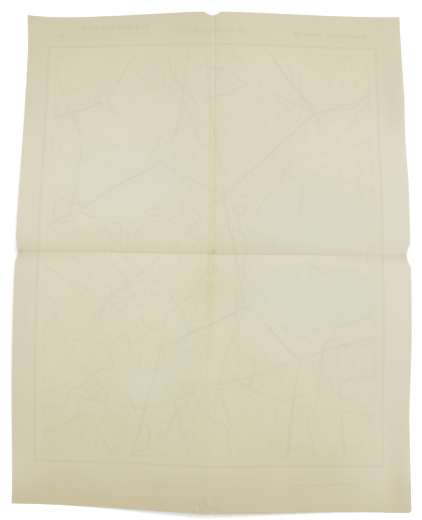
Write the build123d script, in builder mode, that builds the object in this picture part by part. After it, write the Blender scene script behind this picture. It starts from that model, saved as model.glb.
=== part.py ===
"""Paper map, folded once each way and opened out again, lying face down on a table.

The sheet is one piece. Three arms of its crossed folds are valleys seen from above (left, right and
top) and the fourth (bottom) is a ridge, as they are when a sheet is folded in half and in half again.
The paper has a set from its folds, so it stands up along them, more and more towards the sheet's
edges, springs up a little further beside the valleys, and comes down to the table at the corners and
at the crossing.

Frame: the table is the plane Z = 0, +Y points to the top of the sheet and the origin lies on the
table under the middle of the sheet. The folds were made by hand, so they have a frame of their own,
a little off the middle of the sheet and turned against its edges. Millimetres.
"""

from build123d import *
import os
from math import exp
from typing import NamedTuple

os.makedirs("parts", exist_ok=True)

# Sheet, as it was cut: its left edge is a little shorter than its right one
sheet_width = 434.0
sheet_length = 559.0
out_of_square = 6.0
paper_thickness = 0.11

# Place of the folds' crossing from the middle of the sheet, turn of the folds against the sheet's
# edges in degrees, and how far the top end of the vertical fold leans to the left from square
crossing_x = 0.3
crossing_y = 0.3
fold_turn = -0.5
fold_lean = 3.8

# Height of the paper above the table at the outer ends of the four folds
left_lift = 15.5
right_lift = 15.0
top_lift = 11.5
ridge_lift = 18.0

# Further height that the paper springs up to beside the valley folds, at the sheet's edge
left_spring = 2.0
right_spring = 2.5
top_spring = 2.0

# Distance from a valley fold in which about two thirds of the spring is reached,
# at the sheet's edge and, more gently, at the crossing
edge_run = 10.0
crossing_run = 30.0

# Distance from the fold at which the paper is down on the table again, along the left and right edges
upper_left_side_reach = 243.0
lower_left_side_reach = 274.0
upper_right_side_reach = 282.0
lower_right_side_reach = 186.0

# The same along the top and bottom edges
upper_left_end_reach = 180.0
upper_right_end_reach = 204.0
lower_left_end_reach = 188.0
lower_right_end_reach = 190.0

# Shape of the way down: near 1 the paper slopes evenly, higher it stays up longer and then drops
slack_fall = 1.5
full_fall = 3.0

# How the lift and spring grow along a fold, from the crossing to the sheet's edge
growth = 1.2

# Dip in the upper right side edge: distance from the fold, depth and half its width
dip_place = 130.0
dip_depth = 4.3
dip_half_width = 55.0

# Sharp line of the folds inside the sheet: how far it stands below a valley's sides or over the
# ridge's, and the distance in which about two thirds of that is reached
crease_depth = 1.5
crease_run = 12.0

# Upper left corner, curled up: height of its tip and length of the curl along the sheet's edges
curl_lift = 5.5
curl_length = 40.0

# Nicks worn into the edge at the ends of the valley folds
left_nick_width = 25.0
left_nick_depth = 2.5
right_nick_width = 24.0
right_nick_depth = 3.6
top_nick_width = 18.0
top_nick_depth = 4.0

# Lower right corner, worn round
worn_corner_radius = 4.0

# Cross-sections along each half of the sheet, points across each panel, and how the points crowd
# towards the vertical fold
sections_along = 24
points_across = 12
crowding = 1.5

# The surface is made this much too large all round and then trimmed to the outline
trim_allowance = 8.0

# Depth of the former under the table's level, and headroom over it for the trimming
former_depth = 5.0
former_height = 40.0

half_width = sheet_width / 2
half_length = sheet_length / 2
folds = Plane((crossing_x, crossing_y, 0)).rotated((0, 0, fold_turn))


class PanelEdge(NamedTuple):
    """How the paper stands along one outer edge of a panel, going away from the fold that ends there."""

    lift: float
    spring: float
    reach: float
    fall: float

    def height(self, distance, run):
        """Height above the table at a distance from the fold, where the spring rises over a run."""
        risen = self.lift + self.spring * (1 - exp(-distance / run))
        remaining = max(0.0, 1 - (distance / self.reach) ** self.fall)
        return risen * remaining**2


# The four panels: each has a side edge (left or right) and an end edge (top or bottom)
side_edges = {
    ("left", "upper"): PanelEdge(left_lift, left_spring, upper_left_side_reach, slack_fall),
    ("left", "lower"): PanelEdge(left_lift, left_spring, lower_left_side_reach, full_fall),
    ("right", "upper"): PanelEdge(right_lift, right_spring, upper_right_side_reach, full_fall),
    ("right", "lower"): PanelEdge(right_lift, right_spring, lower_right_side_reach, full_fall),
}
end_edges = {
    ("left", "upper"): PanelEdge(top_lift, top_spring, upper_left_end_reach, slack_fall),
    ("right", "upper"): PanelEdge(top_lift, top_spring, upper_right_end_reach, slack_fall),
    ("left", "lower"): PanelEdge(ridge_lift, 0.0, lower_left_end_reach, slack_fall),
    ("right", "lower"): PanelEdge(ridge_lift, 0.0, lower_right_end_reach, slack_fall),
}


def fold_x(y):
    """Place of the vertical fold in the folds' frame: square below the crossing, leaning above it."""
    return -fold_lean * max(0.0, y) / half_length


def edge_dip(panel, distance):
    """Depth of the dip in the upper right side edge."""
    if panel != ("right", "upper"):
        return 0.0
    return dip_depth * max(0.0, 1 - ((distance - dip_place) / dip_half_width) ** 2) ** 2


def crease(panel, from_fold, y):
    """Extra height beside the folds inside the sheet, which makes each of them a sharp line."""
    across = from_fold / half_width
    along = abs(y) / half_length
    beside_vertical = exp(-from_fold / crease_run)
    beside_horizontal = exp(-abs(y) / crease_run)
    fold_line = beside_vertical if panel[1] == "lower" else -beside_vertical
    return crease_depth * (1 + fold_line) * (1 - beside_horizontal) * (1 - across**2) * (1 - along**2)


def corner_curl(x, y):
    """Extra height at the curled upper left corner."""
    on_sheet = folds.from_local_coords((x, y, 0))
    from_tip = (half_width + on_sheet.X) + (half_length - on_sheet.Y)
    return curl_lift * max(0.0, 1 - from_tip / curl_length) ** 2


def paper_height(panel, from_fold, y):
    """Height of the paper's underside in a panel, at a distance from the vertical fold and at y."""
    across = from_fold / half_width
    along = abs(y) / half_length
    side_run = crossing_run + (edge_run - crossing_run) * min(1.0, across)
    end_run = crossing_run + (edge_run - crossing_run) * min(1.0, along)
    side = side_edges[panel].height(abs(y), side_run) - edge_dip(panel, abs(y))
    end = end_edges[panel].height(from_fold, end_run)
    x = fold_x(y) + (from_fold if panel[0] == "right" else -from_fold)
    sprung = across**growth * side + along**growth * end
    return sprung + crease(panel, from_fold, y) + corner_curl(x, y)


def underside_line(panel, y):
    """Curve of the paper's underside in one panel, on the section at y, from the fold outwards."""
    outwards = 1 if panel[0] == "right" else -1
    outer = half_width + trim_allowance - outwards * fold_x(y)
    stations = [outer * (i / points_across) ** crowding for i in range(points_across + 1)]
    return Spline(*[(fold_x(y) + outwards * d, paper_height(panel, d, y)) for d in stations])


# Outline of the sheet: four straight cuts, one worn corner and a nick at the end of each valley
with BuildSketch(Plane.XY.offset(-former_depth)) as outline:
    with BuildLine():
        Polyline(
            (-half_width, half_length),
            (half_width, half_length),
            (half_width, -half_length),
            (-half_width, -half_length + out_of_square),
            close=True,
        )
    make_face()
    fillet(outline.vertices().sort_by_distance((half_width, -half_length))[0], worn_corner_radius)
    left_end = folds.from_local_coords((-half_width, 0, 0))
    right_end = folds.from_local_coords((half_width, 0, 0))
    top_end = folds.from_local_coords((fold_x(half_length), half_length, 0))
    nicks = [
        (Vector(-half_width, left_end.Y), Vector(-1, 0), left_nick_width, left_nick_depth),
        (Vector(half_width, right_end.Y), Vector(1, 0), right_nick_width, right_nick_depth),
        (Vector(top_end.X, half_length), Vector(0, 1), top_nick_width, top_nick_depth),
    ]
    for edge_point, outwards, width, depth in nicks:
        radius = (width**2 / 4 + depth**2) / (2 * depth)
        with Locations(edge_point + outwards * (radius - depth)):
            Circle(radius, mode=Mode.SUBTRACT)

# The former is the room under the sheet, as a solid whose top is the sheet's underside. There is one
# loft on each side of the horizontal fold, and each of its sections has a corner at the vertical fold.
with BuildPart() as former:
    for half, direction in (("lower", -1), ("upper", 1)):
        for station in range(sections_along + 1):
            y = direction * (half_length + trim_allowance) * station / sections_along
            place = folds.from_local_coords((0, y, 0))
            with BuildSketch(Plane(place, x_dir=folds.x_dir, z_dir=-folds.y_dir)):
                with BuildLine():
                    left = underside_line(("left", half), y)
                    right = underside_line(("right", half), y)
                    left_foot = ((left @ 1).X, -former_depth)
                    right_foot = ((right @ 1).X, -former_depth)
                    Polyline(left @ 1, left_foot, right_foot, right @ 1)
                make_face()
        loft()
    extrude(outline.sketch, amount=former_depth + former_height, mode=Mode.INTERSECT)

# The sheet is laid over the former: underside, top and rim, sewn into one closed skin
thickness = Vector(0, 0, paper_thickness)
underside = former.faces().filter_by(lambda face: face.normal_at().Z > 0)
top_side = [face.moved(Location(thickness)) for face in underside]
edge_uses = [edge for face in underside for edge in face.edges()]
cut_edges = [edge for edge in edge_uses if edge_uses.count(edge) == 1]
rim = [Face.extrude(edge, thickness) for edge in cut_edges]
skin = Solid(Shell([*underside, *top_side, *rim]))

with BuildPart() as map_sheet:
    add(skin)
map_sheet.part.label = "map_sheet"

export_step(map_sheet.part, "parts/map_sheet.step")
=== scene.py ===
"""Looks of the paper map: an aged sheet, opened out of its folds and lying printed side down.

The sheet is one piece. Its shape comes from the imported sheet, drawn again on a finer net, with the
fine creases, crinkles and cockling that only show as light and shade. The printed side has a plain
map of no real place, and the blank side shows it faintly through the paper. Metres.
"""

from math import cos, dist, radians, sin, tan

import bpy
import numpy as np
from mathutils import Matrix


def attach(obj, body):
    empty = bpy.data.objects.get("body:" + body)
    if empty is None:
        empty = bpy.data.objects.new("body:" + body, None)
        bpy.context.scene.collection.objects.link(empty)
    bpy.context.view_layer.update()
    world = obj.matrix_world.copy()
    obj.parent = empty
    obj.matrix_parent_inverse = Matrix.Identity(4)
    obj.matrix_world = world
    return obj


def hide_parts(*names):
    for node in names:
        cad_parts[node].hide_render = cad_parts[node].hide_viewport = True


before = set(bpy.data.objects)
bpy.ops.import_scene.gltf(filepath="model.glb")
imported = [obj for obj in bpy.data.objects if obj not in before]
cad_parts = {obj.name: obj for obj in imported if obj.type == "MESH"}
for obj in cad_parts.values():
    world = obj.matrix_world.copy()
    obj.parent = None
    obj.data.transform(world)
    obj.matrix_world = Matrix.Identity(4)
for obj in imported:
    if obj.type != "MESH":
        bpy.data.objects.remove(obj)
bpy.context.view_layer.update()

MM = 0.001
scene = bpy.context.scene
scene.view_settings.view_transform = "Standard"

# Camera: the width of its sensor and its lens in millimetres, its place in metres, and how it is turned
SENSOR_WIDTH = 36
LENS = 39.48
CAMERA_PLACE = (0.0068, -0.0632, 0.640)
CAMERA_TURN = (radians(5.112), radians(0.687), radians(0.349))

# Cut sheet: its left edge is shorter than its right one, and one corner is worn round
SHEET_WIDTH = 434 * MM
SHEET_LENGTH = 559 * MM
OUT_OF_SQUARE = 6 * MM
WORN_CORNER = 4 * MM
PAPER_THICKNESS = 0.11 * MM
HALF_WIDTH = SHEET_WIDTH / 2
HALF_LENGTH = SHEET_LENGTH / 2

# Folds: where they cross, how they are turned on the sheet, and the lean of the vertical one's top end
CROSSING = (0.3 * MM, 0.3 * MM)
FOLD_TURN = radians(-0.5)
FOLD_LEAN = 3.8 * MM

# Nicks worn into the edge at the ends of the valley folds: width and depth
LEFT_NICK = (25 * MM, 2.5 * MM)
RIGHT_NICK = (24 * MM, 3.6 * MM)
TOP_NICK = (18 * MM, 4 * MM)

# Net that the sheet is drawn on: strips on each side of the folds, how far apart its lines are beside a
# fold, in a panel and at a cut edge, how fast that grows, and the places at which it is added up
STRIPS_ACROSS = 98
STRIPS_ALONG = 124
STEP_AT_FOLD = 0.45 * MM
STEP_IN_PANEL = 2.7 * MM
STEP_AT_EDGE = 1.1 * MM
STEP_GROWTH = 0.09
STEP_PLACES = 4000

# Rounds in which the net's lines settle between the folds and the cut edges, as each moves the other
SETTLING_ROUNDS = 6

# Packed sheet: facets whose normal's z is under this face down, and corners nearer than this are one
FACING_DOWN = -0.5
SAME_PLACE = 0.02 * MM

# Groove or ridge pressed into the paper along each fold. The vertical fold has two lines, because the
# sheet was folded on it twice. Below the crossing they draw together, and would meet at their length.
CREASE_HEIGHT = 0.2 * MM
CREASE_WIDTH = 0.9 * MM
DOUBLE_LINE_HALF_GAP = 2.6 * MM
DOUBLE_LINE_LENGTH = 300 * MM

# Below the crossing the double line lies a little left of the fold. Above it, it comes back to the fold,
# and from this distance on lies straight on it.
DOUBLE_LINE_SHIFT = 1.3 * MM
DOUBLE_LINE_STRAIGHT = 200 * MM

# The vertical fold is clean from the first distance below the crossing on, and dirty down to the second
CLEAN_FOLD_START = 150 * MM
WORN_FOLD_END = 50 * MM

# Worn and crinkled places, by their distances from the vertical and the horizontal fold, and how worn
# they are: the ends of the folds, most of all the foot, and the crossing. Each fades over one reach.
WORN_PLACES = (
    ((-HALF_WIDTH, 0), 0.25),
    ((HALF_WIDTH, 0), 0.15),
    ((0, HALF_LENGTH), 0.1),
    ((-4 * MM, -HALF_LENGTH), 1),
    ((0, 0), 0.04),
)
WORN_REACH = 16 * MM

# Cockles all over the paper and crinkles in its worn places, and the height over which cockles are full
COCKLE_HEIGHT = 1.1 * MM
COCKLE_WIDTH = 60 * MM
CRINKLE_HEIGHT = 11 * MM
CRINKLE_WIDTH = 9 * MM
RESTING_HEIGHT = 5 * MM

# Points nearer than this share of the thickness are one, and edges bent more, in radians, are cut edges
WELD_SHARE = 0.01
RIM_ANGLE = 1.0

# Print: its middle on the sheet, and how far its rows are turned on it
PRINT_MIDDLE = (-2.5 * MM, 6.6 * MM)
PRINT_TURN = radians(-0.54)

# Map, in millimetres from the middle of its print: the half size of its frame, the gap to the neatline
# inside it, their half widths and ink, and how softly ink ends on the printed side
FRAME_HALF_SIZE = (190.0, 235.2, 0)
FRAME_HALF_WIDTH = 0.8
NEATLINE_GAP = 9.0
NEATLINE_HALF_WIDTH = 0.25
FRAME_INK = "#5F5B54"
PRINT_BLUR = 0.12

# Roads and streams of the map, which is of no real place, as chains of straight stretches
HIGHWAYS = (
    ((-181, 22), (-58, 96), (14, 62), (118, 154), (181, 176)),
    ((118, 154), (66, 226)),
    ((-181, 148), (-120, 168), (-88, 226)),
    ((14, 62), (40, -64), (98, -122), (181, -96)),
    ((40, -64), (-52, -112), (-84, -226)),
    ((98, -122), (84, -226)),
)
LANES = (
    ((-181, -84), (-52, -112), (-20, -226)),
    ((118, 154), (150, 78), (181, 62)),
    ((-120, 168), (-58, 96)),
    ((-8, 226), (14, 62)),
    ((-181, -160), (-70, -176), (10, -150), (98, -122)),
    ((10, -150), (34, -226)),
    ((140, -109), (148, -226)),
    ((91, -170), (181, -182)),
    ((-150, -12), (-112, -60), (-130, -100)),
    ((60, 103), (104, 70), (96, 20)),
    ((-181, 206), (-146, 122), (-158, 33)),
    ((-26, 226), (-34, 150), (-58, 96)),
    ((-181, -24), (-112, -60), (-52, -112)),
    ((-181, -206), (-132, -182), (-104, -226)),
    ((24, 226), (58, 186), (118, 154)),
    ((14, 62), (-34, 8), (-112, -60)),
    ((34, -150), (84, -166), (160, -140), (181, -140)),
    ((-140, -130), (-110, -160), (-126, -226)),
    ((40, -64), (22, -106), (10, -150)),
)
STREAMS = (
    ((-181, 66), (-96, 6), (-44, -46), (-8, -120), (-30, -170), (-54, -226)),
    ((-48, 226), (-16, 146), (34, 26), (42, -30)),
    ((181, 126), (96, 98), (52, 40)),
    ((181, -60), (140, -90), (116, -150), (110, -226)),
)
HIGHWAY_HALF_WIDTH = 1.0
LANE_HALF_WIDTH = 0.55
STREAM_HALF_WIDTH = 0.5

# Tint of the land, and its woods and a lake: middle and half size of their patches, how softly they end,
# and the half widths of the lines around them
LAND = "#FCFED0"
WOODS = (
    ((-94, 78), (74, 44)),
    ((112, 30), (70, 34)),
    ((-62, -152), (38, 12)),
    ((-26, -108), (14, 26)),
)
LAKE = (((106, -54), (74, 36)),)
PATCH_BLUR = 1.5
WOODS_EDGE_HALF_WIDTH = 0.3
SHORE_HALF_WIDTH = 0.45

# How far roads, and shores and streams, stray from their plain shapes, and over what length
WANDER_WIDTH = 60
ROAD_WANDER = 8
SHORE_WANDER = 34

# Hills: their width, which cut through the noise they are, how many contours they have from 0 to 1, and
# the contours' half widths, with every fifth one stronger
HILL_WIDTH = 150
HILL_CUT = 2.6
CONTOURS = 22
FIFTH_CONTOUR = 5
CONTOUR_HALF_WIDTH = 0.26
FIFTH_CONTOUR_HALF_WIDTH = 0.42

# Their slope, in contours to the millimetre, keeps the contours even: the step that it is measured over,
# and the least that it is taken for
SLOPE_REACH = 0.5
FLATTEST_SLOPE = 0.02

# Villages: their width, their cut, and the noise at which they start and are dense. Their small marks
# are drawn out sideways: the cell that each has, the stretch, the unevenness and the half height.
VILLAGE_WIDTH = 60
VILLAGE_CUT = 4.1
VILLAGE_START = 0.4
VILLAGE_DENSE = 0.6
MARK_CELL = 4.0
MARK_STRETCH = (2.4, 1, 1)
MARK_UNEVENNESS = 0.9
MARK_HALF_HEIGHT = 0.45

# Roads are drawn stronger and fainter over this length: their cut, the noise at which they are faintest
# and strongest, and what is left of the faintest
TRAFFIC_WIDTH = 30
TRAFFIC_CUT = 9.4
TRAFFIC_LEAST = 0.35
TRAFFIC_MOST = 0.6
FAINTEST_ROAD = 0.4

# Further than anything on the map
FAR_OFF = 1000.0

# Bars and rules in the margins: middle, half size, the length of their darker blocks or none, and
# strength. The noise at which the blocks are palest and darkest, and what is left of the palest.
MARGIN_BARS = (
    ((-111.5, 257.5), (40.5, 2.8), 4.0, 0.8),
    ((-105, 248), (34, 0.4), None, 0.6),
    ((1.5, 252), (39.5, 3.0), 5.0, 0.5),
    ((111, 250), (16, 2.2), 4.0, 0.7),
    ((157, 250), (24, 2.2), 4.0, 0.8),
    ((-175, 248), (3.4, 3.6), None, 0.45),
    ((126, -246.5), (38, 0.2), None, 0.65),
    ((126, -255), (38, 0.3), None, 0.9),
    ((126, -262), (38, 0.2), None, 0.7),
    ((-14.5, -249), (40, 0.8), 3.0, 0.35),
    ((-14.5, -257), (46, 0.8), 3.0, 0.45),
)
BLOCK_PALE = 0.38
BLOCK_DARK = 0.6
PALEST_BLOCK = 0.35

# Aged paper: sRGB colours of the freshest and the most yellowed places, of its core at a cut edge, and
# the tint that stains add to it
FRESH_PAPER = "#DFD9C6"
AGED_PAPER = "#C9BF9D"
BARE_CORE = "#D3CAB0"
STAIN_TINT = "#FFFEF7"

# Tinted places, each from where the tint starts to where it is full: the strip along the vertical fold,
# from the fold and over the crossing, and the head of the sheet, in millimetres on the print, which
# takes this share of the tint
TINTED_STRIP = (6 * MM, 3.5 * MM)
TINTED_STRIP_TOP = (180 * MM, 145 * MM)
TINTED_HEAD = (200, 262)
HEAD_TINT = 0.4

# Places that have yellowed more or less than the rest, and at the foot's middle partly painted shade:
# middle and half size on the print, and how far
STAINS_AND_SHADE = (
    ((4, -34), (75, 60), 0.24),
    ((3.5, -3.5), (7, 6), 0.35),
    ((-95, 10), (90, 26), 0.09),
    ((75, 8), (70, 24), 0.11),
    ((20, 120), (160, 110), 0.07),
    ((-190, 220), (60, 100), 0.07),
    ((-209, -7.5), (4, 4), 0.5),
    ((200, 220), (60, 100), 0.12),
    # The foot's middle: partly yellowing, partly painted shade
    ((0, -262), (110, 46), 0.16),
    ((95, -225), (110, 60), 0.1),
    ((206, -262), (20, 50), 0.23),
    ((-205, -30), (30, 60), 0.08),
    ((-212, -250), (45, 50), -0.2),
    ((-94, 78), (84, 52), -0.15),
    ((112, 30), (80, 44), -0.24),
    ((106, -54), (84, 44), -0.12),
    ((100, -100), (74, 40), -0.12),
    ((-66, -150), (56, 34), -0.14),
    ((140, -240), (70, 34), 0.1),
    ((208, 180), (18, 90), 0.13),
    ((208, -215), (18, 70), 0.13),
)

# Aged paper, in millimetres: its clouds, the spots where it was formed thin, how far the print spreads
# on its way through it, and how much of it shows where the paper is thickest and thinnest
CLOUD_WIDTH = 110
FORMATION_WIDTH = 14
SHOW_THROUGH_BLUR = 1.25
FAINTEST_SHOW_THROUGH = 0.085
STRONGEST_SHOW_THROUGH = 0.125

# Noise mostly keeps between these
NOISE_LOW = 0.3
NOISE_HIGH = 0.7

# Surface of uncoated paper. The tooth of its fibres is too fine to show, so it is drawn coarse.
PAPER_ROUGHNESS = 0.86
PAPER_IOR = 1.47
TOOTH_WIDTH = 0.9
TOOTH_HEIGHT = 0.03 * MM
TOOTH_STRENGTH = 0.5

# White of the table and the room, and of a place with no ink
WHITE = "#FFFFFF"

# Table, from its middle to its edge, and the glow that only the camera sees on it
FLOOR_REACH = 6.0
CARD_GLOW = 0.14

# Light: the lamp's strength, the angle it fills and how it is turned, and how strongly the white room
# lights. The room itself is seen at full strength.
LAMP_STRENGTH = 1.0
LAMP_ANGLE = radians(12)
LAMP_TURN = (radians(-26), radians(20), 0)
ROOM_STRENGTH = 0.72


def colour(code):
    """Linear colour of an sRGB hex code, as the shader's sockets take it."""
    levels = [int(code[i : i + 2], 16) / 255 for i in (1, 3, 5)]
    return [c / 12.92 if c <= 0.04045 else ((c + 0.055) / 1.055) ** 2.4 for c in levels] + [1.0]


def add_node(tree, kind, inputs=(), **settings):
    """Adds a node with its settings. Each input, by name or number, is given a value or is linked."""
    made = tree.nodes.new(kind)
    for name, value in settings.items():
        setattr(made, name, value)
    for name, value in dict(inputs).items():
        if isinstance(value, bpy.types.Node):
            value = value.outputs[0]
        if isinstance(value, bpy.types.NodeSocket):
            tree.links.new(value, made.inputs[name])
        else:
            made.inputs[name].default_value = value
    return made


# Camera, over the table and a little nearer to the sheet's bottom edge

camera_data = bpy.data.cameras.new("camera")
camera_data.sensor_width = SENSOR_WIDTH
camera_data.lens = LENS
camera = bpy.data.objects.new("camera", camera_data)
camera.location = CAMERA_PLACE
camera.rotation_euler = CAMERA_TURN
scene.collection.objects.link(camera)
scene.camera = camera


# Shape of the sheet


def fold_coordinates(x, y):
    """Signed distances from the vertical and from the horizontal fold."""
    across = (x - CROSSING[0]) * cos(FOLD_TURN) + (y - CROSSING[1]) * sin(FOLD_TURN)
    along = (y - CROSSING[1]) * cos(FOLD_TURN) - (x - CROSSING[0]) * sin(FOLD_TURN)
    return across + FOLD_LEAN * np.maximum(along, 0) / HALF_LENGTH, along


def vertical_fold(y):
    """Place of the vertical fold across the sheet."""
    along = y - CROSSING[1]
    return CROSSING[0] - along * sin(FOLD_TURN) - FOLD_LEAN * np.maximum(along, 0) / HALF_LENGTH


def horizontal_fold(x):
    """Place of the horizontal fold along the sheet."""
    return CROSSING[1] + (x - CROSSING[0]) * sin(FOLD_TURN)


def nick(size, from_fold):
    """How far a nick reaches into the sheet, at a distance along the edge from the fold's end."""
    width, depth = size
    radius = (width**2 / 4 + depth**2) / (2 * depth)
    inside = np.clip(from_fold, -width / 2, width / 2)
    return np.sqrt(radius**2 - inside**2) - (radius - depth)


def left_edge(y):
    """Place of the left cut edge across the sheet."""
    return -HALF_WIDTH + nick(LEFT_NICK, y - horizontal_fold(-HALF_WIDTH))


def right_edge(y):
    """Place of the right cut edge across the sheet. Its lower corner is worn round."""
    from_corner = np.clip(WORN_CORNER - (y + HALF_LENGTH), 0, WORN_CORNER)
    worn = WORN_CORNER - np.sqrt(WORN_CORNER**2 - from_corner**2)
    return HALF_WIDTH - worn - nick(RIGHT_NICK, y - horizontal_fold(HALF_WIDTH))


def top_edge(x):
    """Place of the top cut edge along the sheet."""
    return HALF_LENGTH - nick(TOP_NICK, x - vertical_fold(HALF_LENGTH))


def bottom_edge(x):
    """Place of the bottom cut edge along the sheet. It rises to the left."""
    return -HALF_LENGTH + OUT_OF_SQUARE * (HALF_WIDTH - x) / SHEET_WIDTH


def net_lines(length, count):
    """Shares of a length, from a fold to the cut edge, that lie close together at both ends."""
    place = np.linspace(0, length, STEP_PLACES)
    step = np.minimum(STEP_AT_FOLD + STEP_GROWTH * place, STEP_AT_EDGE + STEP_GROWTH * (length - place))
    passed = np.cumsum(1 / np.minimum(step, STEP_IN_PANEL))
    return np.interp(np.linspace(passed[0], passed[-1], count + 1), passed, place) / length


def net_points():
    """Plan of the net, as x and y of each crossing of its lines, in rows from bottom to top."""
    across = net_lines(HALF_WIDTH, STRIPS_ACROSS)
    along = net_lines(HALF_LENGTH, STRIPS_ALONG)
    across = np.concatenate([-across[:0:-1], across])[None, :]
    along = np.concatenate([-along[:0:-1], along])[:, None]
    x = across * HALF_WIDTH + 0 * along
    y = along * HALF_LENGTH + 0 * across
    for _ in range(SETTLING_ROUNDS):
        side = np.where(across > 0, right_edge(y), left_edge(y))
        end = np.where(along > 0, top_edge(x), bottom_edge(x))
        x = vertical_fold(y) + abs(across) * (side - vertical_fold(y))
        y = horizontal_fold(x) + abs(along) * (end - horizontal_fold(x))
    return x, y


def packed_underside():
    """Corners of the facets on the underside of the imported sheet. They lie on its true surface."""
    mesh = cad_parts["map_sheet"].data
    facing_down = [p for p in mesh.polygons if p.normal.z < FACING_DOWN]
    corners = np.array([mesh.vertices[i].co for p in facing_down for i in p.vertices])
    _, places = np.unique((corners[:, :2] / SAME_PLACE).round(), axis=0, return_index=True)
    return corners[places]


def spline_kernel(squared):
    """Thin plate kernel r^2 log r, from r^2. The tiny term keeps the logarithm finite at zero."""
    return 0.5 * squared * np.log(squared + 1e-12)


def thin_plate(known, x, y):
    """Heights of the smoothest surface through the known points, as a thin plate would lie."""
    unit = HALF_LENGTH
    points = known[:, :2] / unit
    count = len(points)
    system = np.zeros((count + 3, count + 3))
    apart = points[:, None, :] - points[None, :, :]
    system[:count, :count] = spline_kernel((apart**2).sum(2))
    system[:count, count] = 1
    system[:count, count + 1 :] = points
    system[count:, :count] = system[:count, count:].T
    weights = np.linalg.solve(system, np.concatenate([known[:, 2], np.zeros(3)]))
    asked = np.stack([x.ravel(), y.ravel()], 1) / unit
    squared = (asked[:, None, 0] - points[None, :, 0]) ** 2
    squared += (asked[:, None, 1] - points[None, :, 1]) ** 2
    heights = spline_kernel(squared) @ weights[:count] + weights[count] + asked @ weights[count + 1 :]
    return heights.reshape(x.shape)


def sheet_heights(x, y):
    """Height of the sheet's underside at each point of the net. Each panel is a surface of its own."""
    known = packed_underside()
    known_across, known_along = fold_coordinates(known[:, 0], known[:, 1])
    total = np.zeros(x.shape)
    panels = np.zeros(x.shape)
    for side, columns in ((-1, slice(0, STRIPS_ACROSS + 1)), (1, slice(STRIPS_ACROSS, None))):
        for half, rows in ((-1, slice(0, STRIPS_ALONG + 1)), (1, slice(STRIPS_ALONG, None))):
            inside = (side * known_across > -SAME_PLACE) & (half * known_along > -SAME_PLACE)
            total[rows, columns] += thin_plate(known[inside], x[rows, columns], y[rows, columns])
            panels[rows, columns] += 1
    return total / panels


def pressed_line(across, along):
    """Distance from the nearer of the two lines that are pressed into the paper at the vertical fold."""
    half_gap = DOUBLE_LINE_HALF_GAP * np.clip(1 + along / DOUBLE_LINE_LENGTH, 0, 1)
    shift = DOUBLE_LINE_SHIFT * np.clip(1 - along / DOUBLE_LINE_STRAIGHT, 0, 1)
    return abs(abs(across + shift) - half_gap)


def vertical_wear(along):
    """How dirty the vertical fold is along its length, from 0 at its foot to 1."""
    return np.clip((along + CLEAN_FOLD_START) / (CLEAN_FOLD_START - WORN_FOLD_END), 0, 1)


def place_on_print(x, y):
    """Place on the print. Its rows are turned on the sheet, and its columns are upright."""
    across = x - PRINT_MIDDLE[0]
    return across, y - PRINT_MIDDLE[1] - across * tan(PRINT_TURN)


def pressed_crease(across, along):
    """Fine line of the folds: a groove in the three valleys and a ridge in the fourth arm."""
    vertical = np.exp(-((pressed_line(across, along) / CREASE_WIDTH) ** 2)) * np.where(along > 0, -1, 1)
    horizontal = -np.exp(-((along / CREASE_WIDTH) ** 2))
    return CREASE_HEIGHT * np.where(abs(vertical) > abs(horizontal), vertical, horizontal)


def worn_places(across, along):
    """How worn the paper is, from 0 to 1."""
    worn = np.zeros(across.shape)
    for (place_across, place_along), share in WORN_PLACES:
        distance = np.hypot(across - place_across, along - place_along)
        worn = np.maximum(worn, share * np.exp(-((distance / WORN_REACH) ** 2)))
    return worn


def sheet_net():
    """The sheet as one layer of four-sided faces, with its places on the print and fold distances."""
    x, y = net_points()
    across, along = fold_coordinates(x, y)
    z = np.maximum(sheet_heights(x, y) + pressed_crease(across, along), 0)
    rows, columns = x.shape
    number = np.arange(rows * columns).reshape(rows, columns)
    faces = np.stack([number[:-1, :-1], number[:-1, 1:], number[1:, 1:], number[1:, :-1]], -1)
    mesh = bpy.data.meshes.new("map_sheet_net")
    mesh.from_pydata(np.stack([x, y, z], -1).reshape(-1, 3).tolist(), [], faces.reshape(-1, 4).tolist())
    corner = faces.reshape(-1)
    print_x, print_y = place_on_print(x, y)
    on_sheet = np.stack([print_x.ravel() / SHEET_WIDTH + 0.5, print_y.ravel() / SHEET_LENGTH + 0.5], 1)
    flat = mesh.uv_layers.new(name="flat_sheet")
    flat.uv.foreach_set("vector", on_sheet[corner].ravel())
    values = {
        "from_vertical_fold": across,
        "from_horizontal_fold": along,
        "from_pressed_line": pressed_line(across, along),
        "vertical_wear": vertical_wear(along),
        "worn": worn_places(across, along),
    }
    for name, value in values.items():
        mesh.attributes.new(name, "FLOAT", "POINT").data.foreach_set("value", value.ravel())
    return mesh


# Paper: fine relief and thickness


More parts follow.
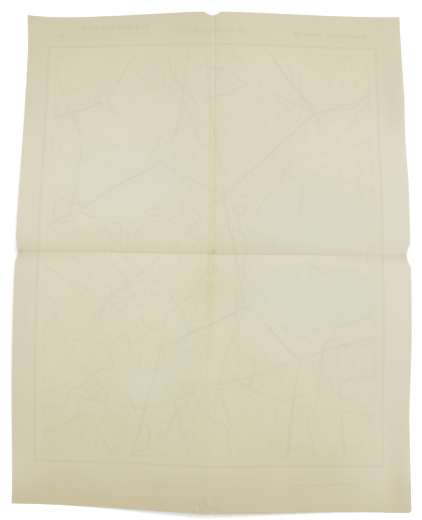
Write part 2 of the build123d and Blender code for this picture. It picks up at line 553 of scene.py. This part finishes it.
def paper_tree():
    """Nodes that cockle and crinkle a one-layer sheet, and give it its thickness and its materials."""
    tree = bpy.data.node_groups.new("aged_paper", "GeometryNodeTree")
    tree.interface.new_socket("Geometry", in_out="INPUT", socket_type="NodeSocketGeometry")
    reliefs = ("Cockle height", "Cockle width", "Crinkle height", "Crinkle width")
    for name in (*reliefs, "Resting height", "Thickness"):
        tree.interface.new_socket(name, in_out="INPUT", socket_type="NodeSocketFloat")
    for name in ("Blank side", "Printed side", "Cut edge"):
        tree.interface.new_socket(name, in_out="INPUT", socket_type="NodeSocketMaterial")
    tree.interface.new_socket("Geometry", in_out="OUTPUT", socket_type="NodeSocketGeometry")
    given = add_node(tree, "NodeGroupInput").outputs

    place = add_node(tree, "GeometryNodeInputPosition")
    height = add_node(tree, "ShaderNodeSeparateXYZ", {0: place}).outputs["Z"]
    free = add_node(tree, "ShaderNodeMapRange", {"Value": height, "From Max": given["Resting height"]})
    worn = add_node(tree, "GeometryNodeInputNamedAttribute", {"Name": "worn"}, data_type="FLOAT")
    raised = 0.0
    for size, width, detail, where in (
        (given["Cockle height"], given["Cockle width"], 2, free),
        (given["Crinkle height"], given["Crinkle width"], 3, worn),
    ):
        scale = add_node(tree, "ShaderNodeMath", {0: 1.0, 1: width}, operation="DIVIDE")
        noise = add_node(tree, "ShaderNodeTexNoise", {"Vector": place, "Scale": scale, "Detail": detail})
        swing = add_node(tree, "ShaderNodeMath", {0: noise, 1: 0.5}, operation="SUBTRACT")
        sized = add_node(tree, "ShaderNodeMath", {0: swing, 1: size}, operation="MULTIPLY")
        raised = {0: sized, 1: where, 2: raised}
        raised = add_node(tree, "ShaderNodeMath", raised, operation="MULTIPLY_ADD")
    offset = add_node(tree, "ShaderNodeCombineXYZ", {"Z": raised})
    relief = add_node(tree, "GeometryNodeSetPosition", {"Geometry": given["Geometry"], "Offset": offset})

    upwards = add_node(tree, "ShaderNodeCombineXYZ", {"Z": given["Thickness"]})
    lifted = {"Mesh": relief, "Offset": upwards, "Offset Scale": 1.0, "Individual": False}
    laid_over = add_node(tree, "GeometryNodeExtrudeMesh", lifted)
    underside = add_node(tree, "GeometryNodeFlipFaces", {"Mesh": relief})
    layers = add_node(tree, "GeometryNodeJoinGeometry", {"Geometry": underside})
    tree.links.new(laid_over.outputs["Mesh"], layers.inputs["Geometry"])
    apart = {0: given["Thickness"], 1: WELD_SHARE}
    apart = add_node(tree, "ShaderNodeMath", apart, operation="MULTIPLY")
    closed = add_node(tree, "GeometryNodeMergeByDistance", {"Geometry": layers, "Distance": apart})
    bend = add_node(tree, "GeometryNodeInputMeshEdgeAngle")
    sharp = add_node(tree, "ShaderNodeMath", {0: bend, 1: RIM_ANGLE}, operation="GREATER_THAN")
    hard = {"Geometry": closed, "Selection": sharp, "Shade Smooth": False}
    result = add_node(tree, "GeometryNodeSetShadeSmooth", hard, domain="EDGE")
    result = add_node(tree, "GeometryNodeRealizeInstances", {"Geometry": result})
    for material, where in (
        (given["Printed side"], True),
        (given["Blank side"], laid_over.outputs["Top"]),
        (given["Cut edge"], laid_over.outputs["Side"]),
    ):
        painted = {"Geometry": result, "Selection": where, "Material": material}
        result = add_node(tree, "GeometryNodeSetMaterial", painted)
    add_node(tree, "NodeGroupOutput", {"Geometry": result})
    return tree


def plain_sheet(layer, tree, values):
    """The sheet as a plain mesh, once the nodes have been run on its one layer."""
    modifier = layer.modifiers.new("aged_paper", "NODES")
    modifier.node_group = tree
    for socket in tree.interface.items_tree:
        if socket.name in values:
            modifier[socket.identifier] = values[socket.name]
    scene.collection.objects.link(layer)
    depsgraph = bpy.context.evaluated_depsgraph_get()
    made = layer.evaluated_get(depsgraph)
    mesh = bpy.data.meshes.new_from_object(made, preserve_all_data_layers=True, depsgraph=depsgraph)
    mesh.name = "map_sheet_paper"
    bpy.data.objects.remove(layer)
    sheet = bpy.data.objects.new("map_sheet_paper", mesh)
    scene.collection.objects.link(sheet)
    return sheet


# Print: a plain map of no real place, drawn in millimetres from the middle of its frame


def new_group(name, inputs, outputs):
    """An empty shader group and its input sockets."""
    tree = bpy.data.node_groups.new(name, "ShaderNodeTree")
    for socket, kind in inputs.items():
        tree.interface.new_socket(socket, in_out="INPUT", socket_type="NodeSocket" + kind)
    for socket, kind in outputs.items():
        tree.interface.new_socket(socket, in_out="OUTPUT", socket_type="NodeSocket" + kind)
    return tree, add_node(tree, "NodeGroupInput").outputs


def stroke_group():
    """Ink that a line leaves at a distance from its middle. Blur spreads it without adding to it."""
    sockets = {"Distance": "Float", "Half width": "Float", "Blur": "Float"}
    tree, given = new_group("stroke", sockets, {"Ink": "Float"})
    passed = []
    for side in (-1, 1):
        edge = add_node(tree, "ShaderNodeMath", {0: given["Half width"], 1: side}, operation="MULTIPLY")
        start = add_node(tree, "ShaderNodeMath", {0: edge, 1: given["Blur"]}, operation="SUBTRACT")
        end = add_node(tree, "ShaderNodeMath", {0: edge, 1: given["Blur"]}, operation="ADD")
        limits = {"Value": given["Distance"], "From Min": start, "From Max": end}
        passed.append(add_node(tree, "ShaderNodeMapRange", limits))
    ink = add_node(tree, "ShaderNodeMath", {0: passed[0], 1: passed[1]}, operation="SUBTRACT")
    add_node(tree, "NodeGroupOutput", {"Ink": ink})
    return tree


def box_group():
    """Distance from the nearest side of an upright box, under zero inside it."""
    sockets = {"Place": "Vector", "Middle": "Vector", "Half size": "Vector"}
    tree, given = new_group("box_distance", sockets, {"Distance": "Float"})
    moved = {0: given["Place"], 1: given["Middle"]}
    moved = add_node(tree, "ShaderNodeVectorMath", moved, operation="SUBTRACT")
    folded = add_node(tree, "ShaderNodeVectorMath", {0: moved}, operation="ABSOLUTE")
    outside = {0: folded, 1: given["Half size"]}
    outside = add_node(tree, "ShaderNodeVectorMath", outside, operation="SUBTRACT")
    sides = add_node(tree, "ShaderNodeSeparateXYZ", {0: outside}).outputs
    nearest = add_node(tree, "ShaderNodeMath", {0: sides["X"], 1: sides["Y"]}, operation="MAXIMUM")
    add_node(tree, "NodeGroupOutput", {"Distance": nearest})
    return tree


def oval_group():
    """Distance from the rim of an upright oval, under zero inside it."""
    sockets = {"Place": "Vector", "Middle": "Vector", "Half size": "Vector", "Scale": "Float"}
    tree, given = new_group("oval_distance", sockets, {"Distance": "Float"})
    moved = {0: given["Place"], 1: given["Middle"]}
    moved = add_node(tree, "ShaderNodeVectorMath", moved, operation="SUBTRACT")
    moved = {0: moved, 1: given["Half size"]}
    moved = add_node(tree, "ShaderNodeVectorMath", moved, operation="DIVIDE")
    share = add_node(tree, "ShaderNodeVectorMath", {0: moved}, operation="LENGTH").outputs["Value"]
    beyond = add_node(tree, "ShaderNodeMath", {0: share, 1: 1.0}, operation="SUBTRACT")
    distance = add_node(tree, "ShaderNodeMath", {0: beyond, 1: given["Scale"]}, operation="MULTIPLY")
    add_node(tree, "NodeGroupOutput", {"Distance": distance})
    return tree


def stretch_group():
    """Distance from a straight stretch that starts at a place and has a heading and a length."""
    sockets = {"Place": "Vector", "Start": "Vector", "Heading": "Vector", "Length": "Float"}
    tree, given = new_group("stretch_distance", sockets, {"Distance": "Float"})
    moved = {0: given["Place"], 1: given["Start"]}
    moved = add_node(tree, "ShaderNodeVectorMath", moved, operation="SUBTRACT")
    passed = {0: moved, 1: given["Heading"]}
    passed = add_node(tree, "ShaderNodeVectorMath", passed, operation="DOT_PRODUCT").outputs["Value"]
    passed = add_node(tree, "ShaderNodeClamp", {"Value": passed, "Max": given["Length"]})
    nearest = {0: given["Heading"], "Scale": passed}
    nearest = add_node(tree, "ShaderNodeVectorMath", nearest, operation="SCALE")
    apart = add_node(tree, "ShaderNodeVectorMath", {0: moved, 1: nearest}, operation="DISTANCE")
    add_node(tree, "NodeGroupOutput", {"Distance": apart.outputs["Value"]})
    return tree


def roads_group(name, roads, stretch):
    """Distance from the nearest of a few roads or streams, each a chain of straight stretches."""
    tree, given = new_group(name, {"Place": "Vector"}, {"Distance": "Float"})
    nearest = FAR_OFF
    for road in roads:
        for start, end in zip(road, road[1:]):
            length = dist(start, end)
            heading = ((end[0] - start[0]) / length, (end[1] - start[1]) / length, 0)
            piece = {"Place": given["Place"], "Start": (*start, 0), "Heading": heading, "Length": length}
            piece = add_node(tree, "ShaderNodeGroup", piece, node_tree=stretch)
            nearest = add_node(tree, "ShaderNodeMath", {0: nearest, 1: piece}, operation="MINIMUM")
    add_node(tree, "NodeGroupOutput", {"Distance": nearest})
    return tree


def patches_group(name, patches, oval):
    """Distance from the edge of the nearest of a few rounded patches, under zero inside them."""
    tree, given = new_group(name, {"Place": "Vector"}, {"Distance": "Float"})
    nearest = FAR_OFF
    for middle, half_size in patches:
        patch = {"Place": given["Place"], "Middle": (*middle, 0), "Half size": (*half_size, 1)}
        patch["Scale"] = min(half_size)
        patch = add_node(tree, "ShaderNodeGroup", patch, node_tree=oval)
        nearest = add_node(tree, "ShaderNodeMath", {0: nearest, 1: patch}, operation="MINIMUM")
    add_node(tree, "NodeGroupOutput", {"Distance": nearest})
    return tree


def margin_group(box):
    """Ink of the plain bars and rules in the margins, from 0 to 1."""
    tree, given = new_group("margin_bars", {"Place": "Vector", "Blur": "Float"}, {"Ink": "Float"})
    place, blur = given["Place"], given["Blur"]
    sideways = add_node(tree, "ShaderNodeSeparateXYZ", {0: place}).outputs["X"]
    within = add_node(tree, "ShaderNodeMath", {0: blur, 1: -1.0}, operation="MULTIPLY")
    total = 0.0
    for middle, half_size, block, strength in MARGIN_BARS:
        bar = {0: place, 1: (*middle, 0), 2: (*half_size, 0)}
        bar = add_node(tree, "ShaderNodeGroup", bar, node_tree=box)
        bar = {"Value": bar, "From Min": blur, "From Max": within, "To Max": strength}
        bar = add_node(tree, "ShaderNodeMapRange", bar)
        if block:
            blocks = {"W": sideways, "Scale": 1 / block, "Detail": 1}
            blocks = add_node(tree, "ShaderNodeTexNoise", blocks, noise_dimensions="1D")
            blocks = {"Value": blocks, "From Min": BLOCK_PALE, "From Max": BLOCK_DARK}
            blocks["To Min"] = PALEST_BLOCK
            blocks = add_node(tree, "ShaderNodeMapRange", blocks)
            bar = add_node(tree, "ShaderNodeMath", {0: bar, 1: blocks}, operation="MULTIPLY")
        total = add_node(tree, "ShaderNodeMath", {0: total, 1: bar}, operation="MAXIMUM")
    add_node(tree, "NodeGroupOutput", {"Ink": total})
    return tree


def wandering_places(tree, place):
    """The place as roads see it, and as shores and streams do. Each strays from its plain shape."""
    wander = {"Vector": place, "Scale": 1 / WANDER_WIDTH, "Detail": 2}
    wander = add_node(tree, "ShaderNodeTexNoise", wander, noise_dimensions="2D").outputs["Color"]
    wander = add_node(tree, "ShaderNodeVectorMath", {0: wander, 1: (0.5, 0.5, 0.5)}, operation="SUBTRACT")
    bent = []
    for height in (ROAD_WANDER, SHORE_WANDER):
        moved = {0: wander, 1: (height, height, 0), 2: place}
        bent.append(add_node(tree, "ShaderNodeVectorMath", moved, operation="MULTIPLY_ADD"))
    return bent


def contour_distances(tree, place):
    """Distances from the nearest contour of the hills, and from the nearest fifth one."""
    heights = []
    for aside in ((0, 0, 0), (SLOPE_REACH, 0, 0), (0, SLOPE_REACH, 0)):
        beside = add_node(tree, "ShaderNodeVectorMath", {0: place, 1: aside}, operation="ADD")
        hills = {"Vector": beside, "W": HILL_CUT, "Scale": 1 / HILL_WIDTH, "Detail": 3, "Roughness": 0.45}
        hills = add_node(tree, "ShaderNodeTexNoise", hills, noise_dimensions="4D")
        heights.append(add_node(tree, "ShaderNodeMath", {0: hills, 1: CONTOURS}, operation="MULTIPLY"))
    here, rightwards, upwards = heights
    rise = add_node(tree, "ShaderNodeMath", {0: rightwards, 1: here}, operation="SUBTRACT")
    climb = add_node(tree, "ShaderNodeMath", {0: upwards, 1: here}, operation="SUBTRACT")
    slope = add_node(tree, "ShaderNodeCombineXYZ", {"X": rise, "Y": climb})
    slope = add_node(tree, "ShaderNodeVectorMath", {0: slope}, operation="LENGTH").outputs["Value"]
    slope = add_node(tree, "ShaderNodeMath", {0: slope, 1: SLOPE_REACH}, operation="DIVIDE")
    slope = add_node(tree, "ShaderNodeMath", {0: slope, 1: FLATTEST_SLOPE}, operation="MAXIMUM")
    distances = []
    for spacing in (1, FIFTH_CONTOUR):
        swing = add_node(tree, "ShaderNodeMath", {0: here, 1: spacing / 2}, operation="PINGPONG")
        distances.append(add_node(tree, "ShaderNodeMath", {0: swing, 1: slope}, operation="DIVIDE"))
    return distances


def village_marks(tree, place):
    """Distance from the middle of the nearest small mark, and how dense the villages are there."""
    settled = {"Vector": place, "W": VILLAGE_CUT, "Scale": 1 / VILLAGE_WIDTH, "Detail": 1}
    settled = add_node(tree, "ShaderNodeTexNoise", settled, noise_dimensions="4D")
    settled = {"Value": settled, "From Min": VILLAGE_START, "From Max": VILLAGE_DENSE}
    settled = add_node(tree, "ShaderNodeMapRange", settled)
    drawn_out = add_node(tree, "ShaderNodeVectorMath", {0: place, 1: MARK_STRETCH}, operation="DIVIDE")
    mark = {"Vector": drawn_out, "Scale": 1 / MARK_CELL, "Randomness": MARK_UNEVENNESS}
    mark = add_node(tree, "ShaderNodeTexVoronoi", mark, voronoi_dimensions="2D")
    mark = add_node(tree, "ShaderNodeMath", {0: mark, 1: MARK_CELL}, operation="MULTIPLY")
    return mark, settled


def road_strength(tree, place):
    """How strongly a road is drawn at a place, up to 1."""
    travelled = {"Vector": place, "W": TRAFFIC_CUT, "Scale": 1 / TRAFFIC_WIDTH, "Detail": 2}
    travelled = add_node(tree, "ShaderNodeTexNoise", travelled, noise_dimensions="4D")
    travelled = {"Value": travelled, "From Min": TRAFFIC_LEAST, "From Max": TRAFFIC_MOST}
    travelled["To Min"] = FAINTEST_ROAD
    return add_node(tree, "ShaderNodeMapRange", travelled)


def map_group(box, oval):
    """The printed map as the colour of its inks on white."""
    tree, given = new_group("plain_map", {"Place": "Vector", "Blur": "Float"}, {"Colour": "Color"})
    place, blur = given["Place"], given["Blur"]
    stroke, stretch = stroke_group(), stretch_group()

    along_road, along_shore = wandering_places(tree, place)
    lines = []
    for name, chains, bent in (
        ("highways", HIGHWAYS, along_road),
        ("lanes", LANES, along_road),
        ("streams", STREAMS, along_shore),
    ):
        line = roads_group(name, chains, stretch)
        lines.append(add_node(tree, "ShaderNodeGroup", {"Place": bent}, node_tree=line))
    highway, lane, stream = lines
    edges, insides = [], []
    for name, patches in (("woods", WOODS), ("lake", LAKE)):
        edge = patches_group(name, patches, oval)
        edges.append(add_node(tree, "ShaderNodeGroup", {"Place": along_shore}, node_tree=edge))
        inside = {"Value": edges[-1], "From Min": PATCH_BLUR, "From Max": -PATCH_BLUR}
        insides.append(add_node(tree, "ShaderNodeMapRange", inside))
    woods_edge, shore = edges
    woods, lake = insides
    contour, fifth_contour = contour_distances(tree, place)
    mark, settled = village_marks(tree, place)
    travelled = road_strength(tree, place)

    sides = {"Place": place, "Half size": FRAME_HALF_SIZE}
    border = add_node(tree, "ShaderNodeGroup", sides, node_tree=box)
    neatline = add_node(tree, "ShaderNodeMath", {0: border, 1: NEATLINE_GAP}, operation="ADD")
    cut_off = add_node(tree, "ShaderNodeMath", {0: neatline, 1: 0.0}, operation="GREATER_THAN")
    margin = add_node(tree, "ShaderNodeMath", {0: border, 1: 0.0}, operation="GREATER_THAN")
    bars = {"Place": place, "Blur": blur}
    bars = add_node(tree, "ShaderNodeGroup", bars, node_tree=margin_group(box))

    # Layers from the lowest up: a line's distance and half width, where it is drawn, and its ink
    drawn = colour(LAND)
    for line, where, shade in (
        ((contour, CONTOUR_HALF_WIDTH), None, "#94866A"),
        ((fifth_contour, FIFTH_CONTOUR_HALF_WIDTH), None, "#857453"),
        (None, woods, "#CEFFD0"),
        (None, lake, "#BAF8D2"),
        ((woods_edge, WOODS_EDGE_HALF_WIDTH), None, "#A5A692"),
        ((shore, SHORE_HALF_WIDTH), None, "#7E8F90"),
        ((stream, STREAM_HALF_WIDTH), None, "#5F7074"),
        ((mark, MARK_HALF_HEIGHT), settled, "#706E68"),
        ((lane, LANE_HALF_WIDTH), travelled, "#4B4944"),
        ((highway, HIGHWAY_HALF_WIDTH), travelled, "#46443F"),
        (None, cut_off, LAND),
        (None, margin, WHITE),
        ((neatline, NEATLINE_HALF_WIDTH), None, FRAME_INK),
        ((border, FRAME_HALF_WIDTH), None, FRAME_INK),
        (None, bars, "#4A4842"),
    ):
        amount = 1.0
        if line:
            distance, half_width = line
            amount = {"Distance": distance, "Half width": half_width, "Blur": blur}
            amount = add_node(tree, "ShaderNodeGroup", amount, node_tree=stroke)
        if where:
            amount = add_node(tree, "ShaderNodeMath", {0: amount, 1: where}, operation="MULTIPLY")
        layer = {0: amount, 6: drawn, 7: colour(shade)}
        drawn = add_node(tree, "ShaderNodeMix", layer, data_type="RGBA").outputs[2]
    add_node(tree, "NodeGroupOutput", {"Colour": drawn})
    return tree


# Paper and ink


def new_material(name):
    """An empty material and its node tree."""
    material = bpy.data.materials.new(name)
    material.use_nodes = True
    material.node_tree.nodes.clear()
    return material, material.node_tree


def place_on_map(tree):
    """Millimetres from the middle of the print, from the sheet's own map."""
    flat = add_node(tree, "ShaderNodeUVMap", uv_map="flat_sheet")
    size = (SHEET_WIDTH / MM, SHEET_LENGTH / MM, 1)
    laid = {"Vector": flat, "Location": (-size[0] / 2, -size[1] / 2, 0), "Scale": size}
    return add_node(tree, "ShaderNodeMapping", laid)


def paper_surface(tree, shade, place):
    """Uncoated paper: dull, with the fine tooth of its felted fibres."""
    tooth = {"Vector": place, "Scale": 1 / TOOTH_WIDTH, "Detail": 3, "Roughness": 0.6}
    tooth = add_node(tree, "ShaderNodeTexNoise", tooth, noise_dimensions="2D")
    bump = {"Strength": TOOTH_STRENGTH, "Distance": TOOTH_HEIGHT, "Height": tooth}
    bump = add_node(tree, "ShaderNodeBump", bump)
    surface = {"Base Color": shade, "Roughness": PAPER_ROUGHNESS, "IOR": PAPER_IOR, "Normal": bump}
    surface = add_node(tree, "ShaderNodeBsdfPrincipled", surface)
    add_node(tree, "ShaderNodeOutputMaterial", {"Surface": surface})


def fold_values(tree):
    """What the net keeps of the folds: the distances from the vertical one, from the horizontal one and
    from the pressed lines, in metres, and the wear of the vertical one, from 0 to 1."""
    names = ("from_vertical_fold", "from_horizontal_fold", "from_pressed_line", "vertical_wear")
    return [add_node(tree, "ShaderNodeAttribute", attribute_name=name).outputs["Fac"] for name in names]


def stained_and_shaded_age(tree, place, oval):
    """Age that the stained places add to the paper's, or take from it. At the foot's middle it is
    partly painted shade.
    """
    age_and_shade = 0.0
    for middle, half_size, strength in STAINS_AND_SHADE:
        spot = {"Place": place, "Middle": (*middle, 0), "Half size": (*half_size, 1), "Scale": 1.0}
        spot = add_node(tree, "ShaderNodeGroup", spot, node_tree=oval)
        spot = {"Value": spot, "From Min": 0.0, "From Max": -1.0, "To Max": strength}
        spot = add_node(tree, "ShaderNodeMapRange", spot, interpolation_type="SMOOTHSTEP")
        age_and_shade = add_node(tree, "ShaderNodeMath", {0: age_and_shade, 1: spot}, operation="ADD")
    return age_and_shade


def tinted_places(tree, along, beside, horizontal, wear):
    """How much of the stains' tint lies on the dirty vertical fold and on the head of the sheet."""
    strip = {"Value": beside, "From Min": TINTED_STRIP[0], "From Max": TINTED_STRIP[1]}
    strip = add_node(tree, "ShaderNodeMapRange", strip, interpolation_type="SMOOTHSTEP")
    strip = add_node(tree, "ShaderNodeMath", {0: strip, 1: wear}, operation="MULTIPLY")
    below_top = {"Value": horizontal, "From Min": TINTED_STRIP_TOP[0], "From Max": TINTED_STRIP_TOP[1]}
    below_top = add_node(tree, "ShaderNodeMapRange", below_top)
    strip = add_node(tree, "ShaderNodeMath", {0: strip, 1: below_top}, operation="MULTIPLY")
    head = {"Value": along, "From Min": TINTED_HEAD[0], "From Max": TINTED_HEAD[1], "To Max": HEAD_TINT}
    head = add_node(tree, "ShaderNodeMapRange", head)
    return add_node(tree, "ShaderNodeMath", {0: strip, 1: head}, operation="MAXIMUM")


def aged_and_shaded_paper_group(box, oval):
    """Colour of the bare paper. It has yellowed most at its foot, in its margins and along its folds.
    Its darkening towards the foot and over the horizontal fold is partly painted shade, and the strip
    between the vertical fold's pressed lines has a painted highlight towards the head.
    """
    tree, given = new_group("aged_and_shaded_paper_colour", {"Place": "Vector"}, {"Colour": "Color"})
    place = given["Place"]
    on_print = add_node(tree, "ShaderNodeSeparateXYZ", {0: place}).outputs
    across, along = on_print["X"], on_print["Y"]
    vertical, horizontal, pressed, wear = fold_values(tree)
    beside = add_node(tree, "ShaderNodeMath", {0: vertical}, operation="ABSOLUTE")
    level = add_node(tree, "ShaderNodeMath", {0: horizontal}, operation="ABSOLUTE")
    above = add_node(tree, "ShaderNodeMath", {0: horizontal, 1: 0.0}, operation="GREATER_THAN")
    under = add_node(tree, "ShaderNodeMath", {0: 1.0, 1: above}, operation="SUBTRACT")
    border = {"Place": place, "Half size": FRAME_HALF_SIZE}
    border = add_node(tree, "ShaderNodeGroup", border, node_tree=box)
    clouds = {"Vector": place, "Scale": 1 / CLOUD_WIDTH, "Detail": 4, "Roughness": 0.6}
    clouds = add_node(tree, "ShaderNodeTexNoise", clouds, noise_dimensions="2D")

    # Shares that grow to 1: what each follows, the two places that it grows between, and its start.
    # Places on the print are in millimetres, and those from a fold in metres.
    grown = []
    for value, start, end, least in (
        (across, 215, 20, 0.3),
        (across, 40, 190, 0.0),
        (along, 60, 240, 0.0),
        (beside, 110 * MM, 217 * MM, 0.0),
        (border, -NEATLINE_GAP, NEATLINE_GAP, 0.0),
    ):
        share = {"Value": value, "From Min": start, "From Max": end, "To Min": least}
        grown.append(add_node(tree, "ShaderNodeMapRange", share))
    leftwards, rightwards, headwards, outwards, margin = grown

    # Age, and painted shade and highlight: what it follows, the two places that it runs between, what it
    # adds at each, and its shares
    age_and_shade = stained_and_shaded_age(tree, place, oval)
    for value, start, end, at_start, at_end, shares in (
        # All over: clouds, and darker to the left
        (clouds, NOISE_LOW, NOISE_HIGH, -0.04, 0.09, ()),
        (across, -215, 215, 0.05, -0.05, ()),
        # Towards the foot, less so on the right, and most under the frame: partly yellowing, partly
        # painted shade of light falling off towards the foot
        (along, -20, -240, 0.0, 0.54, ()),
        (along, -20, -240, 0.0, -0.11, (rightwards,)),
        (along, -238, -288, 0.0, 0.43, ()),
        # Towards the head, and less at the right
        (along, 120, 270, 0.0, 0.33, ()),
        (across, 120, 215, 0.0, -0.08, ()),
        # Margins, more at their head and on the left
        (along, -250, 270, 0.0, 0.12, (margin,)),
        (across, 0, -215, 0.0, 0.08, (margin,)),
        # Horizontal fold: over it, partly yellowing and partly painted shade on the slope down to it,
        # less at its right end; on it; and under its outer ends
        (horizontal, 45 * MM, 0.0, 0.0, 0.13, (above, leftwards)),
        (horizontal, 14 * MM, 0.0, 0.0, 0.18, (above, leftwards)),
        (level, 2.6 * MM, 0.0, 0.0, 0.1, ()),
        (horizontal, -14 * MM, 0.0, 0.0, 0.5, (under, outwards)),
        # Vertical fold: beside it, on its pressed lines, and a painted highlight on the strip between
        # those lines towards the head
        (beside, 9 * MM, 0.0, 0.0, 0.05, (wear,)),
        (pressed, 1.4 * MM, 0.0, 0.0, 0.13, (wear,)),
        (beside, 2.4 * MM, 0.8 * MM, 0.0, -0.16, (headwards,)),
    ):
        step = {"Value": value, "From Min": start, "From Max": end, "To Min": at_start, "To Max": at_end}
        step = add_node(tree, "ShaderNodeMapRange", step)
        for share in shares:
            step = add_node(tree, "ShaderNodeMath", {0: step, 1: share}, operation="MULTIPLY")
        age_and_shade = add_node(tree, "ShaderNodeMath", {0: age_and_shade, 1: step}, operation="ADD")

    toned = {0: age_and_shade, 6: colour(FRESH_PAPER), 7: colour(AGED_PAPER)}
    toned = add_node(tree, "ShaderNodeMix", toned, data_type="RGBA").outputs[2]
    tinted = tinted_places(tree, along, beside, horizontal, wear)
    toned = {0: tinted, 6: toned, 7: colour(STAIN_TINT)}
    toned = add_node(tree, "ShaderNodeMix", toned, data_type="RGBA", blend_type="MULTIPLY").outputs[2]
    add_node(tree, "NodeGroupOutput", {"Colour": toned})
    return tree


def printed_side(plain_map, aged_paper):
    """Offset-printed map paper: flat inks soaked into it, so it has no gloss."""
    material, tree = new_material("offset_print_on_map_paper")
    place = place_on_map(tree)
    ink = add_node(tree, "ShaderNodeGroup", {"Place": place, "Blur": PRINT_BLUR}, node_tree=plain_map)
    # The paper under the ink has the painted shade and highlight of the bare paper's colour
    paper = add_node(tree, "ShaderNodeGroup", {"Place": place}, node_tree=aged_paper)
    shade = {0: 1.0, 6: paper, 7: ink}
    shade = add_node(tree, "ShaderNodeMix", shade, data_type="RGBA", blend_type="MULTIPLY").outputs[2]
    paper_surface(tree, shade, place)
    return material


def blank_side(plain_map, aged_paper):
    """Aged wood-pulp map paper: cream, yellowed where it was handled and folded, with painted shade
    towards its foot and over the horizontal fold and a painted highlight on the vertical fold's head,
    and with the print on its other side showing through as a faint blurred shadow, stronger where the
    paper is thin."""
    material, tree = new_material("aged_cream_map_paper")
    place = place_on_map(tree)
    ink = {"Place": place, "Blur": SHOW_THROUGH_BLUR}
    ink = add_node(tree, "ShaderNodeGroup", ink, node_tree=plain_map)
    paper = add_node(tree, "ShaderNodeGroup", {"Place": place}, node_tree=aged_paper)
    thin = {"Vector": place, "Scale": 1 / FORMATION_WIDTH, "Detail": 2}
    thin = add_node(tree, "ShaderNodeTexNoise", thin, noise_dimensions="2D")
    seen = {"Value": thin, "From Min": NOISE_LOW, "From Max": NOISE_HIGH}
    seen |= {"To Min": FAINTEST_SHOW_THROUGH, "To Max": STRONGEST_SHOW_THROUGH}
    seen = add_node(tree, "ShaderNodeMapRange", seen)
    shade = {0: seen, 6: paper, 7: ink}
    shade = add_node(tree, "ShaderNodeMix", shade, data_type="RGBA", blend_type="MULTIPLY").outputs[2]
    paper_surface(tree, shade, place)
    return material


def cut_edge():
    """The paper's core, bare where it was cut and rubbed: duller than its faces."""
    material, tree = new_material("cut_paper_edge")
    paper_surface(tree, colour(BARE_CORE), place_on_map(tree))
    return material


box, oval = box_group(), oval_group()
plain_map = map_group(box, oval)
# Paper colour: partly painted shade at the foot and over the horizontal fold, and a painted highlight at
# the head of the vertical fold
aged_paper = aged_and_shaded_paper_group(box, oval)
paper_values = {
    "Cockle height": COCKLE_HEIGHT,
    "Cockle width": COCKLE_WIDTH,
    "Crinkle height": CRINKLE_HEIGHT,
    "Crinkle width": CRINKLE_WIDTH,
    "Resting height": RESTING_HEIGHT,
    "Thickness": PAPER_THICKNESS,
    "Blank side": blank_side(plain_map, aged_paper),
    "Printed side": printed_side(plain_map, aged_paper),
    "Cut edge": cut_edge(),
}
one_layer = bpy.data.objects.new("map_sheet_layer", sheet_net())
map_sheet = plain_sheet(one_layer, paper_tree(), paper_values)
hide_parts("map_sheet")
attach(map_sheet, "root")


# Table: a white card, which keeps the sheet's shadow

floor_mesh = bpy.data.meshes.new("floor")
floor_corners = [(x * FLOOR_REACH, y * FLOOR_REACH, 0) for x, y in ((-1, -1), (1, -1), (1, 1), (-1, 1))]
floor_mesh.from_pydata(floor_corners, [], [(0, 1, 2, 3)])
floor = bpy.data.objects.new("floor", floor_mesh)
scene.collection.objects.link(floor)
card, card_tree = new_material("white_card")
looked_at = add_node(card_tree, "ShaderNodeLightPath").outputs["Is Camera Ray"]
glow = add_node(card_tree, "ShaderNodeMath", {0: looked_at, 1: CARD_GLOW}, operation="MULTIPLY")
glow = add_node(card_tree, "ShaderNodeEmission", {"Color": colour(WHITE), "Strength": glow})
matt = add_node(card_tree, "ShaderNodeBsdfDiffuse", {"Color": colour(WHITE)})
white = add_node(card_tree, "ShaderNodeAddShader", {0: matt, 1: glow})
add_node(card_tree, "ShaderNodeOutputMaterial", {"Surface": white})
floor_mesh.materials.append(card)


# Light: an even white room, and a wide soft lamp over the top right corner

lamp_data = bpy.data.lights.new("soft_lamp", "SUN")
lamp_data.energy = LAMP_STRENGTH
lamp_data.angle = LAMP_ANGLE
lamp = bpy.data.objects.new("soft_lamp", lamp_data)
lamp.rotation_euler = LAMP_TURN
scene.collection.objects.link(lamp)

world = bpy.data.worlds.new("white_room")
world.use_nodes = True
room = world.node_tree
room.nodes.clear()
scene.world = world
rays = add_node(room, "ShaderNodeLightPath").outputs
seen = 0.0
for ray in ("Is Camera Ray", "Is Glossy Ray", "Is Transmission Ray"):
    seen = add_node(room, "ShaderNodeMath", {0: seen, 1: rays[ray]}, operation="MAXIMUM")
strength = add_node(room, "ShaderNodeMapRange", {"Value": seen, "To Min": ROOM_STRENGTH, "To Max": 1.0})
sky = add_node(room, "ShaderNodeBackground", {"Color": colour(WHITE), "Strength": strength})
add_node(room, "ShaderNodeOutputWorld", {"Surface": sky})
